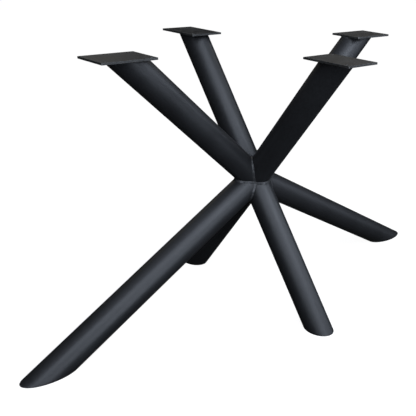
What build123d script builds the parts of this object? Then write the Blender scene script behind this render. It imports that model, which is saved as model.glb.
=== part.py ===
from build123d import *
import os
from itertools import combinations
from math import inf

# Whole base, mm. The floor is z = 0, the middle of the base is x = y = 0,
# the long pair of legs lies along X and the short pair along Y.
base_height = 720.0
joint_height = 358.0

# The round tube that all eight legs are cut from
tube_diameter = 73.0
tube_wall = 2.0

# How far out a leg's axis reaches: at the underside of its plate, and at the floor
long_top_reach = 397.0
long_foot_reach = 645.0
short_top_reach = 271.0
short_foot_reach = 276.0

# Top plates, with their long side pointing outwards
plate_length = 140.0
plate_width = 100.0
plate_thickness = 5.0
plate_corner_radius = 1.0
plate_edge_break = 0.3

# Ledge left on each plate between its inner edge and the end of the tube
long_plate_ledge = 0.5
short_plate_ledge = 18.0

# Screw holes in the corners of each plate
screw_hole_diameter = 7.0
screw_hole_end_inset = 12.0
screw_hole_side_inset = 8.0

# Oval plates that close the feet from inside the tubes
foot_plate_thickness = 4.0
foot_plate_gap = 0.3

# Fillet welds under the top plates
plate_weld_leg = 4.0
plate_weld_toe = 0.4

# Beads along the seams of the joint: how far one reaches from a tube's surface,
# and how far its flat face stands out from the seam
joint_weld_leg = 3.2
joint_weld_throat = 2.8

# Two legs that turn by less than this, as a unit vector, run straight through the joint
smallest_turn = 0.1

tube_radius = tube_diameter / 2
bore_radius = tube_radius - tube_wall
plate_underside = base_height - plate_thickness
joint_centre = Vector(0, 0, joint_height)

# Each side of the base: the way it points, its two reaches and its plate's ledge
sides = {
    "left": (Vector(-1, 0, 0), long_top_reach, long_foot_reach, long_plate_ledge),
    "right": (Vector(1, 0, 0), long_top_reach, long_foot_reach, long_plate_ledge),
    "front": (Vector(0, -1, 0), short_top_reach, short_foot_reach, short_plate_ledge),
    "back": (Vector(0, 1, 0), short_top_reach, short_foot_reach, short_plate_ledge),
}


def leg_ends():
    """The far end of every leg's axis, by the leg's name."""
    ends = {}
    for side, (outward, top_reach, foot_reach, ledge) in sides.items():
        ends["upper_tube_" + side] = outward * top_reach + Vector(0, 0, plate_underside)
        ends["lower_tube_" + side] = outward * foot_reach
    return ends


ends = leg_ends()
directions = {leg: (end - joint_centre).normalized() for leg, end in ends.items()}


def section_half_length(leg):
    """Half the length of the oval that a level cut makes in a leg's tube."""
    return tube_radius / abs(directions[leg].Z)


def rod(leg, radius):
    """A round bar on a leg's axis, from behind the joint to beyond the leg's far end."""
    behind = tube_diameter
    beyond = section_half_length(leg) + tube_diameter
    direction = directions[leg]
    start = joint_centre - direction * behind
    length = behind + (ends[leg] - joint_centre).length + beyond
    plane = Plane(origin=start, z_dir=direction)
    return plane * Cylinder(radius, length, align=(Align.CENTER, Align.CENTER, Align.MIN))


def between_levels(solid, low, high):
    """The part of a solid that lies between two heights."""
    reach = 4 * (long_foot_reach + tube_diameter)
    slab = Pos(0, 0, low) * Box(reach, reach, high - low, align=(Align.CENTER, Align.CENTER, Align.MIN))
    return solid & slab


def mitred(solid, leg):
    """Cut a leg back to the planes that halve the angle to each other leg."""
    for other, direction in directions.items():
        if other != leg:
            mitre = Plane(origin=joint_centre, z_dir=directions[leg] - direction)
            solid = split(solid, bisect_by=mitre, keep=Keep.TOP)
    return solid


def make_tube(leg):
    """One leg: a tube cut level at its far end and mitred to the other seven."""
    pipe = rod(leg, tube_radius) - rod(leg, bore_radius)
    return mitred(between_levels(pipe, 0, plate_underside), leg)


def side_frame(side, distance, height):
    """A level plane with its X axis pointing outwards on one side of the base."""
    outward = sides[side][0]
    return Plane(origin=outward * distance + Vector(0, 0, height), x_dir=outward, z_dir=(0, 0, 1))


def plate_centre(side):
    """How far out the middle of a top plate lies."""
    outward, top_reach, foot_reach, ledge = sides[side]
    tube_inner_end = top_reach - section_half_length("upper_tube_" + side)
    return tube_inner_end - ledge + plate_length / 2


def make_top_plate(side):
    """A flat plate with four screw holes."""
    outline = RectangleRounded(plate_length, plate_width, plate_corner_radius)
    plate = extrude(outline, plate_thickness)
    rims = plate.edges().group_by(Axis.Z)
    plate = chamfer(rims[0] + rims[-1], plate_edge_break)
    hole_step_out = plate_length - 2 * screw_hole_end_inset
    hole_step_across = plate_width - 2 * screw_hole_side_inset
    for place in GridLocations(hole_step_out, hole_step_across, 2, 2):
        plate -= place * Cylinder(screw_hole_diameter / 2, 3 * plate_thickness)
    return side_frame(side, plate_centre(side), plate_underside) * plate


def make_plate_weld(side):
    """The fillet weld round a tube's end, where the plate has a ledge to carry it."""
    leg = "upper_tube_" + side
    top_reach = sides[side][1]
    half_length = section_half_length(leg)
    drift = plate_weld_leg * top_reach / (plate_underside - joint_height)
    wide = side_frame(side, top_reach, plate_underside)
    wide *= Ellipse(half_length + plate_weld_leg, tube_radius + plate_weld_leg)
    narrow = side_frame(side, top_reach - drift, plate_underside - plate_weld_leg)
    narrow *= Ellipse(half_length + plate_weld_toe, tube_radius + plate_weld_toe)
    collar = loft([narrow, wide], ruled=True)
    footprint = side_frame(side, plate_centre(side), plate_underside - 2 * plate_weld_leg)
    footprint *= Box(
        plate_length - 2 * plate_edge_break,
        plate_width - 2 * plate_edge_break,
        2 * plate_weld_leg,
        align=(Align.CENTER, Align.CENTER, Align.MIN),
    )
    return (collar & footprint) - rod(leg, tube_radius)


def make_foot_plate(side):
    """The oval plate inside a lower tube's end, level with the floor."""
    leg = "lower_tube_" + side
    return between_levels(rod(leg, bore_radius - foot_plate_gap), 0, foot_plate_thickness)


def half_rod(leg, radius):
    """A round bar on a leg's axis that starts in the middle of the joint."""
    length = (ends[leg] - joint_centre).length
    plane = Plane(origin=joint_centre, z_dir=directions[leg])
    return plane * Cylinder(radius, length, align=(Align.CENTER, Align.CENTER, Align.MIN))


def seam_plane(leg, other):
    """The mitre plane of two legs: X halves their angle and Y is square to both axes."""
    middle = directions[leg] + directions[other]
    across = directions[leg].cross(directions[other])
    return Plane(origin=joint_centre, x_dir=middle, z_dir=middle.cross(across))


def seam_long_radius(leg, other):
    """The long half axis of the oval in which two legs' tubes meet."""
    return 2 * tube_radius / (directions[leg] - directions[other]).length


def share_a_seam(leg, other):
    """Whether some stretch of two legs' oval lies nearer to them than to any third leg."""
    if (directions[leg] + directions[other]).length < smallest_turn:
        return False
    plane = seam_plane(leg, other)
    lowest, highest = -inf, inf
    for third, direction in directions.items():
        lead = directions[leg] - direction
        along = seam_long_radius(leg, other) * lead.dot(plane.x_dir)
        sideways = tube_radius * lead.dot(plane.y_dir)
        if third in (leg, other):
            continue
        if sideways > 0:
            lowest = max(lowest, -along / sideways)
        elif sideways < 0:
            highest = min(highest, -along / sideways)
        elif along < 0:
            return False
    return lowest < highest


def make_bead(leg, other, cores):
    """The fillet along one seam: near both tubes, cut flat, and outside every tube."""
    near_both = half_rod(leg, tube_radius + joint_weld_leg) & half_rod(other, tube_radius + joint_weld_leg)
    oval = Ellipse(seam_long_radius(leg, other) + joint_weld_throat, tube_radius + joint_weld_throat)
    flat = seam_plane(leg, other) * extrude(oval, amount=tube_diameter, both=True)
    return (near_both & flat).cut(*cores)


def make_joint_weld():
    """The beads along every seam of the joint, run together where seams meet."""
    cores = [half_rod(leg, tube_radius) for leg in directions]
    pairs = [pair for pair in combinations(directions, 2) if share_a_seam(*pair)]
    beads = [make_bead(leg, other, cores) for leg, other in pairs]
    return beads[0].fuse(*beads[1:])


def write(name, shape):
    """Save one piece of the base as its own file."""
    export_step(shape, "parts/" + name + ".step")


os.makedirs("parts", exist_ok=True)
for leg in directions:
    write(leg, make_tube(leg))
for side in sides:
    write("top_plate_" + side, make_top_plate(side))
    write("plate_weld_" + side, make_plate_weld(side))
    write("foot_plate_" + side, make_foot_plate(side))
write("joint_weld", make_joint_weld())
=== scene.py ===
from collections import namedtuple
from functools import partial
from itertools import combinations
from math import cos, inf, pi, radians, sin

import bpy
import numpy as np
from mathutils import Matrix, Vector


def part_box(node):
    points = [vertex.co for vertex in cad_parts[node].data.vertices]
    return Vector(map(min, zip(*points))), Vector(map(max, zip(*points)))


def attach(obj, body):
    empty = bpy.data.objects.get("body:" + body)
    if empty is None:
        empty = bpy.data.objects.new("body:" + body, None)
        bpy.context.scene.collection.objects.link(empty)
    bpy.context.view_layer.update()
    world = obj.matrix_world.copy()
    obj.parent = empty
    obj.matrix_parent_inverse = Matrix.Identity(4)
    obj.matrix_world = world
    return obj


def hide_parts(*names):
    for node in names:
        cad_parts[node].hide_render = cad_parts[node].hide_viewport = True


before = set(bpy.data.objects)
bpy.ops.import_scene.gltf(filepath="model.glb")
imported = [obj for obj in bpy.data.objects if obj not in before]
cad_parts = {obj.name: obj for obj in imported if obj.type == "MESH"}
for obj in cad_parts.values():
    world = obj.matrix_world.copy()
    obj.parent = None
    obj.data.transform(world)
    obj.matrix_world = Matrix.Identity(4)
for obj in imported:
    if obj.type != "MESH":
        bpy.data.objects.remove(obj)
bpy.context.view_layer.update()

# Driving sizes of the base, as the solids have them. All sizes are in metres.
joint_height = 0.358
long_top_reach = 0.397
long_foot_reach = 0.645
short_top_reach = 0.271
short_foot_reach = 0.276
tube_wall = 0.002

# Sizes read from the frame
tube_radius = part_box("upper_tube_left")[1].y
plate_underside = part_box("upper_tube_left")[1].z
joint_centre = np.array([0, 0, joint_height])

# Each side of the base: the way it points, and how far out its two legs reach
sides = {
    "left": (np.array([-1.0, 0, 0]), long_top_reach, long_foot_reach),
    "right": (np.array([1.0, 0, 0]), long_top_reach, long_foot_reach),
    "front": (np.array([0, -1.0, 0]), short_top_reach, short_foot_reach),
    "back": (np.array([0, 1.0, 0]), short_top_reach, short_foot_reach),
}
up = np.array([0, 0, 1.0])

# Two legs that turn by less than this, as a unit vector, run straight through the joint
smallest_turn = 0.1

# How finely the tubes are drawn, and how their rims at the floor are rounded
points_round_tube = 144
rings_along_tube = 60
rings_round_rim = 5
foot_rim_radius = 0.0008
foot_lift = 0.00005
sharp_angle = radians(35)

# The weld beads: how far they reach over each of the two surfaces, and how high they swell
bead_smooth_reach = 0.0055
bead_steep_reach = 0.0020
bead_swell = 0.0009
plate_bead_reach = 0.0040

# How finely a bead is drawn, how deep its toes and its root lie in the metal, and how much of
# the root's depth is left at a bead's end
bead_step = 0.0005
fewest_bead_points = 8
bead_points_across = 13
seam_samples = 800
toe_depth = 0.0001
bead_root = 0.0012
end_root_share = 0.3

# A bead's cross-section: where its two guides stand, in reaches out and in swells up
smooth_guide_reach = 0.55
smooth_guide_swells = 1.5
steep_guide_swells = 2.2

# A bead's ripples: their pitch and depth, how many pitches they bow, how late each one falls,
# and the level that they swing about
ripple_pitch = 0.0023
ripple_depth = 0.00032
ripple_bow = 0.9
ripple_fall = 1.6
ripple_middle = 0.5

# How a bead's reach, swell and pace wander along it: how much, and over what length
reach_wander = 0.12
smooth_reach_wave = 0.019
steep_reach_wave = 0.023
swell_wander = 0.30
swell_wave = 0.016
pace_wander = 0.0005
pace_wave = 0.012

# The waves that such a walk is made of, as shares of the longest, and what they come to at most
walk_waves = (1.0, 0.61, 0.37)
walk_peak = 2.0

# A bead's ends: how far it runs past the seam, how long it takes to fill, and how full it starts
bead_overrun = 0.0022
bead_end_length = 0.003
bead_end_start = 0.02

# How much fuller a bead is in the crotch between two legs, and how near to it
crotch_gain = 0.35
crotch_length = 0.014

# How much of a plate's ledge its bead covers, how far it stays from the plate's edge, and the
# slant towards an edge below which that edge is as good as never reached
ledge_share = 0.85
plate_edge_clearance = 0.0003
least_slant = 1e-6

# Random seeds: the gap from one bead to the next, and the first one under the plates
seed_step = 10
plate_bead_seed = 500

# The camera of the photograph: place in metres, angles in degrees, sizes in pixels
image_size = 416
camera_place = (-1.2041, -1.2967, 0.9695)
camera_yaw = 45.006
camera_pitch = 24.605
camera_roll = -2.569
focal_pixels = 669.0
image_middle = (274.9, 243.5)
sensor_width = 36.0

# Noises: how many to a metre, how many finer layers they have, and how strong each layer is
tube_cloud_noise = (9.0, 3.0, 0.55)
plate_cloud_noise = (38.0, 3.0, 0.55)
mottle_noise = (140.0, 4.0, 0.6)
peel_noise = (420.0, 1.0, 0.5)
grain_noise = (2200.0, 2.0, 0.6)
dust_noise = (700.0, 2.0, 0.5)
floor_noise = (1.5, 2.0, 0.5)

# The coat's tone: the stretch of noise that it follows, and how much of it the clouds make up
tone_range = (0.35, 0.65)
cloud_share = 0.6

# Dust: the peaks of noise that are specks, and how strong they are
dust_range = (0.70, 0.76)
dust_strength = 0.5

# How deep the coat's grain is, for one of its orange peel
grain_share = 0.35

# Painted shade in corners: how near the next surface is, how open they are from shut to clear, and
# the darker colour and weaker reflection painted there as shade
crevice_reach = 0.005
crevice_range = (0.45, 0.92)
crevice_samples = 6
crevice_painted_shade_colour = (0.003, 0.003, 0.003)
crevice_painted_shade_specular = 0.1
open_specular = 0.5

# Wear on the plates: the slopes of a broken edge, its patches, and the skew of a round corner, whose
# lighter worn colour is partly wear and partly a painted highlight
level_slope = (0.85, 0.95)
upright_slope = (0.3, 0.5)
edge_patch_range = (0.4, 0.65)
edge_wear = (0.05, 0.5)
corner_skew = (0.15, 0.35)
corner_wear_and_highlight = 0.9

# Rubbing on the feet: the heights between which it fades, its patches, and how strong it is
rub_heights = (0.0004, 0.0025)
rub_patch_range = (0.45, 0.62)
rub_wear = 0.6

# The floor, just under the feet: its two tones, and how its glow rises with distance
floor_reach = 60.0
floor_level = -0.0002
floor_dark = (0.20, 0.195, 0.185)
floor_light = (0.22, 0.215, 0.205)
floor_roughness = 0.8
glow_distances = (0.8, 2.6)
near_glow = 0.94
far_glow = 1.0

# The dim room round the base, and the white behind it
room_colour = (0.02, 0.02, 0.02)
backdrop_colour = (1.0, 1.0, 1.0)

# The soft lights: their distance from the joint, their size, and their tints
light_distance = 2.5
light_width = 1.6
light_height = 1.1
cool = (0.905, 1.0, 1.175)
warm = (1.07, 1.0, 0.88)

# Each light's azimuth, 0 in front and 90 on the right, and its elevation in degrees, its
# strength as radiance times area, and its tint
lights = {
    "low_front": (-14, 3, 2.95, cool),
    "low_right": (10, 3, 2.95, cool),
    "low_side": (58, 3, 0.75, cool),
    "left": (-62, 22, 2.50, cool),
    "front": (-16, 22, 2.00, cool),
    "right": (53, 22, 3.10, cool),
    "high_left": (-42, 42, 4.00, cool),
    "key": (14, 42, 7.75, cool),
    "high_right": (70, 42, 0.95, cool),
    "top": (-20, 64, 3.60, cool),
    "rear_left": (-120, 64, 1.10, cool),
    "rear_right": (110, 42, 0.90, warm),
    "rear": (175, 30, 0.60, warm),
}

# A surface beside a bead: the way out over it from the corner, its normal, how far the bead
# reaches over it, and the function that lays points on it
Surface = namedtuple("Surface", "way normal reach lay")


def unit(vectors):
    """Each vector scaled to a length of one."""
    return vectors / np.linalg.norm(vectors, axis=-1, keepdims=True)


def leg_ends():
    """The far end of every leg's axis, by the leg's name."""
    ends = {}
    for side, (outward, top_reach, foot_reach) in sides.items():
        ends["upper_tube_" + side] = outward * top_reach + up * plate_underside
        ends["lower_tube_" + side] = outward * foot_reach
    return ends


ends = leg_ends()
directions = {leg: unit(end - joint_centre) for leg, end in ends.items()}


def add_piece(name, points, faces, coat, stands_for):
    """Make a piece of the base from its points and faces, in the place of a node."""
    mesh = bpy.data.meshes.new(name)
    mesh.from_pydata(points.tolist(), [], faces)
    mesh.materials.append(coats[coat])
    piece = bpy.data.objects.new(name, mesh)
    bpy.context.scene.collection.objects.link(piece)
    mesh.shade_smooth()
    mesh.set_sharp_from_angle(angle=sharp_angle)
    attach(piece, "root")
    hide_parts(stands_for)


def loop_faces(ring_count, ring_size, closed):
    """The four-sided faces between rings of points, and back to the first ring if closed."""
    faces = []
    for ring in range(ring_count if closed else ring_count - 1):
        here = ring * ring_size
        there = (ring + 1) % ring_count * ring_size
        for k in range(ring_size):
            after = (k + 1) % ring_size
            faces.append((here + k, here + after, there + after, there + k))
    return faces


def ways_round(leg):
    """Unit vectors all round a leg's axis and square to it."""
    first = unit(np.cross(directions[leg], up))
    second = np.cross(directions[leg], first)
    angles = np.linspace(0, 2 * pi, points_round_tube, endpoint=False)
    return np.outer(np.cos(angles), first) + np.outer(np.sin(angles), second)


def mitre_start(leg, ways, radius):
    """How far along a leg's axis its mitre starts, on each line of the tube."""
    starts = []
    for other, direction in directions.items():
        if other != leg:
            lead = directions[leg] - direction
            starts.append(-radius * (ways @ lead) / (directions[leg] @ lead))
    return np.max(starts, axis=0)


def level_end(leg, ways, radius, level):
    """How far along a leg's axis each line of the tube reaches a height."""
    return (level - joint_height - radius * ways[:, 2]) / directions[leg][2]


def tube_ring(leg, ways, radius, along):
    """A ring of points on a leg, each at its own distance along the axis."""
    return joint_centre + radius * ways + np.outer(along, directions[leg])


def rim_rings(wall, corner, face):
    """Rings of points that curve from a tube's wall to its end face, guided by the corner."""
    rings = []
    for share in np.linspace(0, 1, rings_round_rim)[1:]:
        rest = 1 - share
        rings.append(rest**2 * wall + 2 * share * rest * corner + share**2 * face)
    return rings


def tube_piece(leg):
    """One leg: a tube mitred at the joint and cut level at its far end, with a soft rim at a foot."""
    ways = ways_round(leg)
    level = ends[leg][2]
    is_foot = level < joint_height
    if is_foot:
        level = level + foot_lift
    start = mitre_start(leg, ways, tube_radius)
    end = level_end(leg, ways, tube_radius, level)
    wall_end = end - foot_rim_radius if is_foot else end
    rings = []
    for share in np.linspace(0, 1, rings_along_tube):
        rings.append(tube_ring(leg, ways, tube_radius, start + share * (wall_end - start)))
    if is_foot:
        corner = tube_ring(leg, ways, tube_radius, end)
        level_ways = unit(ways * np.array([1, 1, 0]))
        rings += rim_rings(rings[-1], corner, corner - level_ways * foot_rim_radius)
    bore_radius = tube_radius - tube_wall
    bore_end = level_end(leg, ways, bore_radius, level)
    bore_start = mitre_start(leg, ways, bore_radius)
    rings.append(tube_ring(leg, ways, bore_radius, bore_end))
    rings.append(tube_ring(leg, ways, bore_radius, bore_start))
    faces = loop_faces(len(rings), points_round_tube, True)
    add_piece(leg + "_coated", np.concatenate(rings), faces, "tube_coat", leg)


def surface_normal(leg, points):
    """The outward normal of a leg's tube at points on it."""
    from_centre = points - joint_centre
    return unit(from_centre - np.outer(from_centre @ directions[leg], directions[leg]))


def lay_on_tube(leg, points):
    """Points moved straight in or out to just under a leg's surface."""
    along = np.outer((points - joint_centre) @ directions[leg], directions[leg])
    return joint_centre + along + surface_normal(leg, points) * (tube_radius - toe_depth)


def lay_on_plate(points):
    """Points moved straight up to just inside the plates."""
    return np.column_stack([points[:, :2], np.full(len(points), plate_underside + toe_depth)])


def line_distance(points):
    """How far along their line each of some points lies."""
    steps = np.linalg.norm(np.diff(points, axis=0), axis=1)
    return np.concatenate([[0], np.cumsum(steps)])


def oval(centre, long_axis, short_axis, angles):
    """Points of an oval at angles from its long axis, and the way that it runs there."""
    points = centre + np.outer(np.cos(angles), long_axis) + np.outer(np.sin(angles), short_axis)
    tangents = np.outer(np.cos(angles), short_axis) - np.outer(np.sin(angles), long_axis)
    return points, unit(tangents)


def evenly_spaced(curve, low, high):
    """Angles between two others that lie an even step apart along a curve."""
    angles = np.linspace(low, high, seam_samples)
    distance = line_distance(curve(angles)[0])
    count = max(int(distance[-1] / bead_step), fewest_bead_points)
    return np.interp(np.linspace(0, distance[-1], count), distance, angles)


def wander(distance, wave, seed):
    """A smooth random walk between about -1 and 1 along a line, with bends of one wave length."""
    random = np.random.default_rng(seed)
    total = np.zeros_like(distance)
    for stretch in walk_waves:
        phase = random.uniform(0, 2 * pi)
        total += stretch * np.sin(2 * pi * distance / (wave * stretch) + phase)
    return total / walk_peak


def toe_line(surface, seam, reach):
    """Points on one surface beside a bead, so far out from the corner."""
    return surface.lay(seam + surface.way * reach[:, None])


def bead_rings(seam, smooth, steep, fullness, seed):
    """Rings of points round a bead in the corner between two surfaces.

    The seam is the corner's line. The bead lies over the smooth surface and drops steeply at the
    other one. Its fullness says how much of its size it has at each point.
    """
    distance = line_distance(seam)
    outward = unit(smooth.normal + steep.normal)
    smooth_wander = wander(distance, smooth_reach_wave, seed)
    steep_wander = wander(distance, steep_reach_wave, seed + 1)
    smooth_reach = smooth.reach * fullness * (1 + reach_wander * smooth_wander)
    steep_reach = steep.reach * fullness * (1 + reach_wander * steep_wander)
    swell = bead_swell * fullness * (1 + swell_wander * wander(distance, swell_wave, seed + 2))
    pace = distance + pace_wander * wander(distance, pace_wave, seed + 3)
    smooth_toe = toe_line(smooth, seam, smooth_reach)
    steep_toe = toe_line(steep, seam, steep_reach)
    smooth_guide = toe_line(smooth, seam, smooth_guide_reach * smooth_reach)
    smooth_guide = smooth_guide + smooth.normal * (smooth_guide_swells * swell)[:, None]
    steep_guide = steep_toe + smooth.normal * (steep_guide_swells * swell)[:, None]
    lines = []
    for share in np.linspace(0, 1, bead_points_across):
        rest = 1 - share
        line = rest**3 * smooth_toe + 3 * rest**2 * share * smooth_guide
        line = line + 3 * rest * share**2 * steep_guide + share**3 * steep_toe
        crown = 4 * share * rest
        phase = (pace - ripple_bow * ripple_pitch * (1 - crown)) / ripple_pitch
        ripple = ripple_middle - (phase - np.floor(phase)) ** ripple_fall
        lines.append(line + outward * (ripple_depth * crown * ripple * fullness)[:, None])
    root_depth = bead_root * (end_root_share + (1 - end_root_share) * fullness)
    lines.append(seam - outward * root_depth[:, None])
    return np.stack(lines, axis=1)


def bead_mesh(rings, closed):
    """The points and faces of a bead, with flat caps if it is open."""
    count, size = rings.shape[:2]
    faces = loop_faces(count, size, closed)
    if not closed:
        faces.append(tuple(reversed(range(size))))
        faces.append(tuple(range((count - 1) * size, count * size)))
    return rings.reshape(-1, 3), faces


def seam_stretch(leg, other):
    """The two half axes of two legs' seam and the angles it runs between, or None if it has none."""
    if np.linalg.norm(directions[leg] + directions[other]) < smallest_turn:
        return None
    lead = directions[leg] - directions[other]
    long_axis = unit(directions[leg] + directions[other]) * 2 * tube_radius / np.linalg.norm(lead)
    short_axis = unit(np.cross(directions[leg], directions[other])) * tube_radius
    lowest, highest = -pi / 2, pi / 2
    for third, direction in directions.items():
        if third in (leg, other):
            continue
        along = (directions[leg] - direction) @ long_axis
        sideways = (directions[leg] - direction) @ short_axis
        if sideways > 0:
            lowest = max(lowest, np.arctan2(-along, sideways))
        elif sideways < 0:
            highest = min(highest, np.arctan2(along, -sideways))
        elif along < 0:
            return None
    if lowest >= highest:
        return None
    return long_axis, short_axis, lowest, highest


def seam_fullness(seam, crotch):
    """How full a bead is along its seam: rounded off at its ends and fatter near the crotch."""
    distance = np.arange(len(seam)) * bead_step
    to_end = np.minimum(distance, distance[-1] - distance)
    filled = np.clip(to_end / bead_end_length, bead_end_start, 1)
    to_crotch = np.linalg.norm(seam - crotch, axis=1)
    gain = 1 + crotch_gain * np.exp(-((to_crotch / crotch_length) ** 2))
    return np.sqrt(1 - (1 - filled) ** 2) * gain


def bead_order(leg):
    """Sorts the legs: a bead lies over the lower tube, or else over the longer one."""
    return leg.startswith("upper"), not leg.endswith(("left", "right"))


def joint_bead(leg, other, stretch, seed):
    """The rings of the bead along one seam of the joint."""
    long_axis, short_axis, lowest, highest = stretch
    curve = partial(oval, joint_centre, long_axis, short_axis)
    overrun = bead_overrun / tube_radius
    seam, tangent = curve(evenly_spaced(curve, lowest - overrun, highest + overrun))
    smooth_leg, steep_leg = sorted((leg, other), key=bead_order)
    surfaces = []
    for name, facing, reach in (
        (smooth_leg, steep_leg, bead_smooth_reach),
        (steep_leg, smooth_leg, bead_steep_reach),
    ):
        normal = surface_normal(name, seam)
        way = unit(np.cross(normal, tangent))
        way = way * np.sign(way @ (directions[name] - directions[facing]))[:, None]
        surfaces.append(Surface(way, normal, reach, partial(lay_on_tube, name)))
    fullness = seam_fullness(seam, joint_centre + long_axis)
    return bead_rings(seam, *surfaces, fullness, seed)


def joint_weld_piece():
    """All the beads of the joint as one piece."""
    points, faces = [], []
    base = 0
    for number, (leg, other) in enumerate(combinations(directions, 2)):
        stretch = seam_stretch(leg, other)
        if stretch is None:
            continue
        rings = joint_bead(leg, other, stretch, seed_step * number)
        bead_points, bead_faces = bead_mesh(rings, False)
        points.append(bead_points)
        faces += [tuple(base + k for k in face) for face in bead_faces]
        base += len(bead_points)
    add_piece("joint_weld_beads", np.concatenate(points), faces, "weld_coat", "joint_weld")


def ledge_width(side, seam, ways):
    """How far a plate goes on beyond each point of a seam, one way along its underside."""
    low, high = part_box("top_plate_" + side)
    width = np.full(len(seam), inf)
    for axis in (0, 1):
        ahead = np.where(ways[:, axis] > 0, high[axis] - seam[:, axis], seam[:, axis] - low[axis])
        slant = np.maximum(abs(ways[:, axis]), least_slant)
        width = np.minimum(width, (ahead - plate_edge_clearance) / slant)
    return width


def plate_weld_piece(side, seed):
    """The bead round the oval end of an upper tube, under its plate."""
    outward = sides[side][0]
    leg = "upper_tube_" + side
    centre = ends[leg]
    long_axis = outward * tube_radius / abs(directions[leg][2])
    short_axis = np.cross(up, outward) * tube_radius
    curve = partial(oval, centre, long_axis, short_axis)
    seam, tangent = curve(evenly_spaced(curve, 0, 2 * pi)[:-1])
    normal = surface_normal(leg, seam)
    down_tube = unit(np.cross(normal, tangent))
    down_tube = down_tube * -np.sign(down_tube[:, 2])[:, None]
    over_plate = unit(np.cross(tangent, up))
    over_plate = over_plate * np.sign(np.sum(over_plate * (seam - centre), axis=1))[:, None]
    plate_reach = np.minimum(plate_bead_reach, ledge_share * ledge_width(side, seam, over_plate))
    tube = Surface(down_tube, normal, plate_bead_reach, partial(lay_on_tube, leg))
    plate = Surface(over_plate, -up, plate_reach, lay_on_plate)
    points, faces = bead_mesh(bead_rings(seam, tube, plate, np.ones(len(seam)), seed), True)
    add_piece("plate_weld_bead_" + side, points, faces, "weld_coat", "plate_weld_" + side)


def make_camera():
    """The camera that took the photograph, with its off-centre framing as lens shift."""
    yaw, pitch, roll = radians(camera_yaw), radians(camera_pitch), radians(camera_roll)
    forward = Vector((sin(yaw) * cos(pitch), cos(yaw) * cos(pitch), -sin(pitch)))
    level_right = Vector((cos(yaw), -sin(yaw), 0))
    level_down = forward.cross(level_right)
    right = cos(roll) * level_right + sin(roll) * level_down
    down = cos(roll) * level_down - sin(roll) * level_right
    data = bpy.data.cameras.new("camera")
    data.sensor_width = sensor_width
    data.lens = focal_pixels / image_size * sensor_width
    data.shift_x = (image_size / 2 - image_middle[0]) / image_size
    data.shift_y = (image_middle[1] - image_size / 2) / image_size
    camera = bpy.data.objects.new("camera", data)
    turn = Matrix((right, -down, -forward)).transposed().to_4x4()
    camera.matrix_world = Matrix.Translation(camera_place) @ turn
    bpy.context.scene.collection.objects.link(camera)
    bpy.context.scene.camera = camera


def new_material(name):
    """An empty node material with its shader."""
    material = bpy.data.materials.new(name)
    material.use_nodes = True
    return material, material.node_tree, material.node_tree.nodes["Principled BSDF"]


def object_place(tree):
    """Where each point of a piece lies, in metres."""
    return tree.nodes.new("ShaderNodeTexCoord").outputs["Object"]


def noise_node(tree, place, noise):
    """One of the noises as a value from 0 to 1."""
    node = tree.nodes.new("ShaderNodeTexNoise")
    for name, value in zip(("Scale", "Detail", "Roughness"), noise):
        node.inputs[name].default_value = value
    tree.links.new(place, node.inputs["Vector"])
    return node.outputs["Fac"]


def remap(tree, value, old_range, new_low, new_high):
    """A value moved from one range to another, and held inside it."""
    node = tree.nodes.new("ShaderNodeMapRange")
    node.inputs["From Min"].default_value = old_range[0]
    node.inputs["From Max"].default_value = old_range[1]
    node.inputs["To Min"].default_value = new_low
    node.inputs["To Max"].default_value = new_high
    tree.links.new(value, node.inputs["Value"])
    return node.outputs["Result"]


def combine(tree, operation, *values):
    """One value made from others by a sum, a product or the like."""
    node = tree.nodes.new("ShaderNodeMath")
    node.operation = operation
    for value, socket in zip(values, node.inputs):
        tree.links.new(value, socket)
    return node.outputs["Value"]


def split_vector(tree, vector):
    """The three parts of a vector, by their axis."""
    node = tree.nodes.new("ShaderNodeSeparateXYZ")
    tree.links.new(vector, node.inputs["Vector"])
    return node.outputs


def mix_colours(tree, share, first, second):
    """A colour between two others. Each may be a colour or another node's output."""
    node = tree.nodes.new("ShaderNodeMix")
    node.data_type = "RGBA"
    tree.links.new(share, node.inputs["Factor"])
    for name, colour in (("A", first), ("B", second)):
        socket = next(s for s in node.inputs if s.name == name and s.type == "RGBA")
        if isinstance(colour, tuple):
            socket.default_value = (*colour, 1)
        else:
            tree.links.new(colour, socket)
    return next(s for s in node.outputs if s.type == "RGBA")


def bump(tree, height, depth, normal=None):
    """The surface's normal with a relief of the given depth in metres."""
    node = tree.nodes.new("ShaderNodeBump")
    node.inputs["Distance"].default_value = depth
    node.inputs["Strength"].default_value = 1.0
    tree.links.new(height, node.inputs["Height"])
    if normal is not None:
        tree.links.new(normal, node.inputs["Normal"])
    return node.outputs["Normal"]


def openness_for_painted_shade(tree):
    """One on open surfaces, down to nothing deep in a corner, where shade is painted in."""
    node = tree.nodes.new("ShaderNodeAmbientOcclusion")
    node.samples = crevice_samples
    node.inputs["Distance"].default_value = crevice_reach
    return remap(tree, node.outputs["AO"], crevice_range, 0.0, 1.0)


def plate_wear_and_corner_highlight(tree, mottle):
    """Wear on a level plate's broken edges, and round corners made lighter as wear and as a painted
    highlight, told by the way they face.
    """
    normal = split_vector(tree, tree.nodes.new("ShaderNodeNewGeometry").outputs["True Normal"])
    slope = combine(tree, "ABSOLUTE", normal["Z"])
    not_level = remap(tree, slope, level_slope, 1.0, 0.0)
    not_upright = remap(tree, slope, upright_slope, 0.0, 1.0)
    edge = combine(tree, "MULTIPLY", not_level, not_upright)
    edge = combine(tree, "MULTIPLY", edge, remap(tree, mottle, edge_patch_range, *edge_wear))
    skew = combine(tree, "ABSOLUTE", combine(tree, "MULTIPLY", normal["X"], normal["Y"]))
    # The round corners get the light worn colour: partly wear, partly a painted highlight of the
    # light they catch.
    corner = remap(tree, skew, corner_skew, 0.0, corner_wear_and_highlight)
    return combine(tree, "MAXIMUM", edge, corner)


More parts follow.
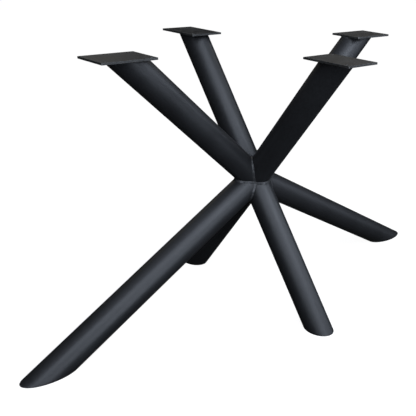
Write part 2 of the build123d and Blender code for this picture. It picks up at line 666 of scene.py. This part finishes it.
def floor_rub(tree, mottle):
    """Rubbing on the lowest few millimetres of a foot."""
    height = split_vector(tree, object_place(tree))["Z"]
    low_down = remap(tree, height, rub_heights, 1.0, 0.0)
    return combine(tree, "MULTIPLY", low_down, remap(tree, mottle, rub_patch_range, 0.0, rub_wear))


def powder_coat(name, dark, light, worn, roughness, relief, clouds=tube_cloud_noise, wear=None):
    """Matt black powder coat: clouds of tone, orange peel, fine grain, dust specks, wear (on the
    plates' round corners also a painted highlight) and painted shade in corners.
    """
    material, tree, shader = new_material(name)
    place = object_place(tree)
    mottle = noise_node(tree, place, mottle_noise)
    cloud_tone = remap(tree, noise_node(tree, place, clouds), tone_range, 0.0, cloud_share)
    mottle_tone = remap(tree, mottle, tone_range, 0.0, 1 - cloud_share)
    tone = combine(tree, "ADD", cloud_tone, mottle_tone)
    colour = mix_colours(tree, tone, dark, light)
    specks = remap(tree, noise_node(tree, place, dust_noise), dust_range, 0.0, dust_strength)
    colour = mix_colours(tree, specks, colour, worn)
    if wear is not None:
        colour = mix_colours(tree, wear(tree, mottle), colour, worn)
    # Painted shade: corners and crevices get a darker colour and a weaker reflection, as if shade
    # fell there.
    clear = openness_for_painted_shade(tree)
    colour = mix_colours(tree, clear, crevice_painted_shade_colour, colour)
    specular = remap(tree, clear, (0.0, 1.0), crevice_painted_shade_specular, open_specular)
    finish = remap(tree, tone, (0.0, 1.0), *roughness)
    normal = bump(tree, noise_node(tree, place, peel_noise), relief)
    normal = bump(tree, noise_node(tree, place, grain_noise), relief * grain_share, normal)
    tree.links.new(colour, shader.inputs["Base Color"])
    tree.links.new(specular, shader.inputs["Specular IOR Level"])
    tree.links.new(finish, shader.inputs["Roughness"])
    tree.links.new(normal, shader.inputs["Normal"])
    return material


def make_coats():
    """The material of every slot."""
    tube = powder_coat(
        "tube_coat",
        dark=(0.0125, 0.0128, 0.0135),
        light=(0.0185, 0.0190, 0.0200),
        worn=(0.05, 0.05, 0.052),
        roughness=(0.38, 0.46),
        relief=0.00009,
        wear=floor_rub,
    )
    plate = powder_coat(
        "plate_coat",
        dark=(0.010, 0.0098, 0.0092),
        light=(0.043, 0.042, 0.0392),
        # Besides wear, the worn colour is painted on the plates' round corners as a highlight.
        worn=(0.22, 0.22, 0.21),
        roughness=(0.38, 0.55),
        relief=0.00010,
        clouds=plate_cloud_noise,
        wear=plate_wear_and_corner_highlight,
    )
    weld = powder_coat(
        "weld_coat",
        dark=(0.022, 0.0225, 0.023),
        light=(0.045, 0.0455, 0.046),
        worn=(0.07, 0.07, 0.07),
        roughness=(0.30, 0.40),
        relief=0.00009,
    )
    foot = powder_coat(
        "foot_coat",
        dark=(0.012, 0.012, 0.012),
        light=(0.022, 0.022, 0.022),
        worn=(0.09, 0.09, 0.09),
        roughness=(0.45, 0.60),
        relief=0.00010,
        wear=floor_rub,
    )
    return {"tube_coat": tube, "plate_coat": plate, "weld_coat": weld, "foot_coat": foot}


def make_floor():
    """A wide pale floor that glows, so that it is all but white and shadows stay faint."""
    mesh = bpy.data.meshes.new("floor")
    corners = ((-1, -1), (1, -1), (1, 1), (-1, 1))
    points = [(x * floor_reach, y * floor_reach, floor_level) for x, y in corners]
    mesh.from_pydata(points, [], [(0, 1, 2, 3)])
    material, tree, shader = new_material("floor")
    place = object_place(tree)
    colour = mix_colours(tree, noise_node(tree, place, floor_noise), floor_dark, floor_light)
    distance = tree.nodes.new("ShaderNodeVectorMath")
    distance.operation = "LENGTH"
    tree.links.new(place, distance.inputs[0])
    glow = remap(tree, distance.outputs["Value"], glow_distances, near_glow, far_glow)
    tree.links.new(colour, shader.inputs["Base Color"])
    shader.inputs["Roughness"].default_value = floor_roughness
    shader.inputs["Emission Color"].default_value = (1, 1, 1, 1)
    tree.links.new(glow, shader.inputs["Emission Strength"])
    mesh.materials.append(material)
    floor = bpy.data.objects.new("floor", mesh)
    floor.visible_diffuse = False
    floor.visible_glossy = False
    bpy.context.scene.collection.objects.link(floor)


def make_light(name, azimuth, elevation, strength, tint):
    """A broad soft light that faces the joint."""
    turn, lift = radians(azimuth), radians(elevation)
    way = Vector((sin(turn) * cos(lift), -cos(turn) * cos(lift), sin(lift)))
    data = bpy.data.lights.new(name, "AREA")
    data.shape = "RECTANGLE"
    data.size = light_width
    data.size_y = light_height
    data.energy = strength * pi
    data.color = tint
    light = bpy.data.objects.new(name, data)
    light.location = Vector(joint_centre) + way * light_distance
    light.rotation_mode = "QUATERNION"
    light.rotation_quaternion = way.to_track_quat("Z", "Y")
    light.visible_camera = False
    bpy.context.scene.collection.objects.link(light)


def make_world():
    """White behind the base for the camera, and a dim room for everything else."""
    world = bpy.data.worlds.new("world")
    bpy.context.scene.world = world
    world.use_nodes = True
    tree = world.node_tree
    room = tree.nodes["Background"]
    room.inputs["Color"].default_value = (*room_colour, 1)
    backdrop = tree.nodes.new("ShaderNodeBackground")
    backdrop.inputs["Color"].default_value = (*backdrop_colour, 1)
    path = tree.nodes.new("ShaderNodeLightPath")
    choose = tree.nodes.new("ShaderNodeMixShader")
    tree.links.new(path.outputs["Is Camera Ray"], choose.inputs["Fac"])
    tree.links.new(room.outputs["Background"], choose.inputs[1])
    tree.links.new(backdrop.outputs["Background"], choose.inputs[2])
    tree.links.new(choose.outputs["Shader"], tree.nodes["World Output"].inputs["Surface"])


coats = make_coats()
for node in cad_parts.values():
    for slot in node.material_slots:
        slot.material = coats[slot.material.name]
for leg in directions:
    tube_piece(leg)
joint_weld_piece()
for number, side in enumerate(sides):
    plate_weld_piece(side, plate_bead_seed + seed_step * number)

for name, light in lights.items():
    make_light(name, *light)
make_camera()
make_floor()
make_world()
bpy.context.scene.view_settings.view_transform = "Standard"
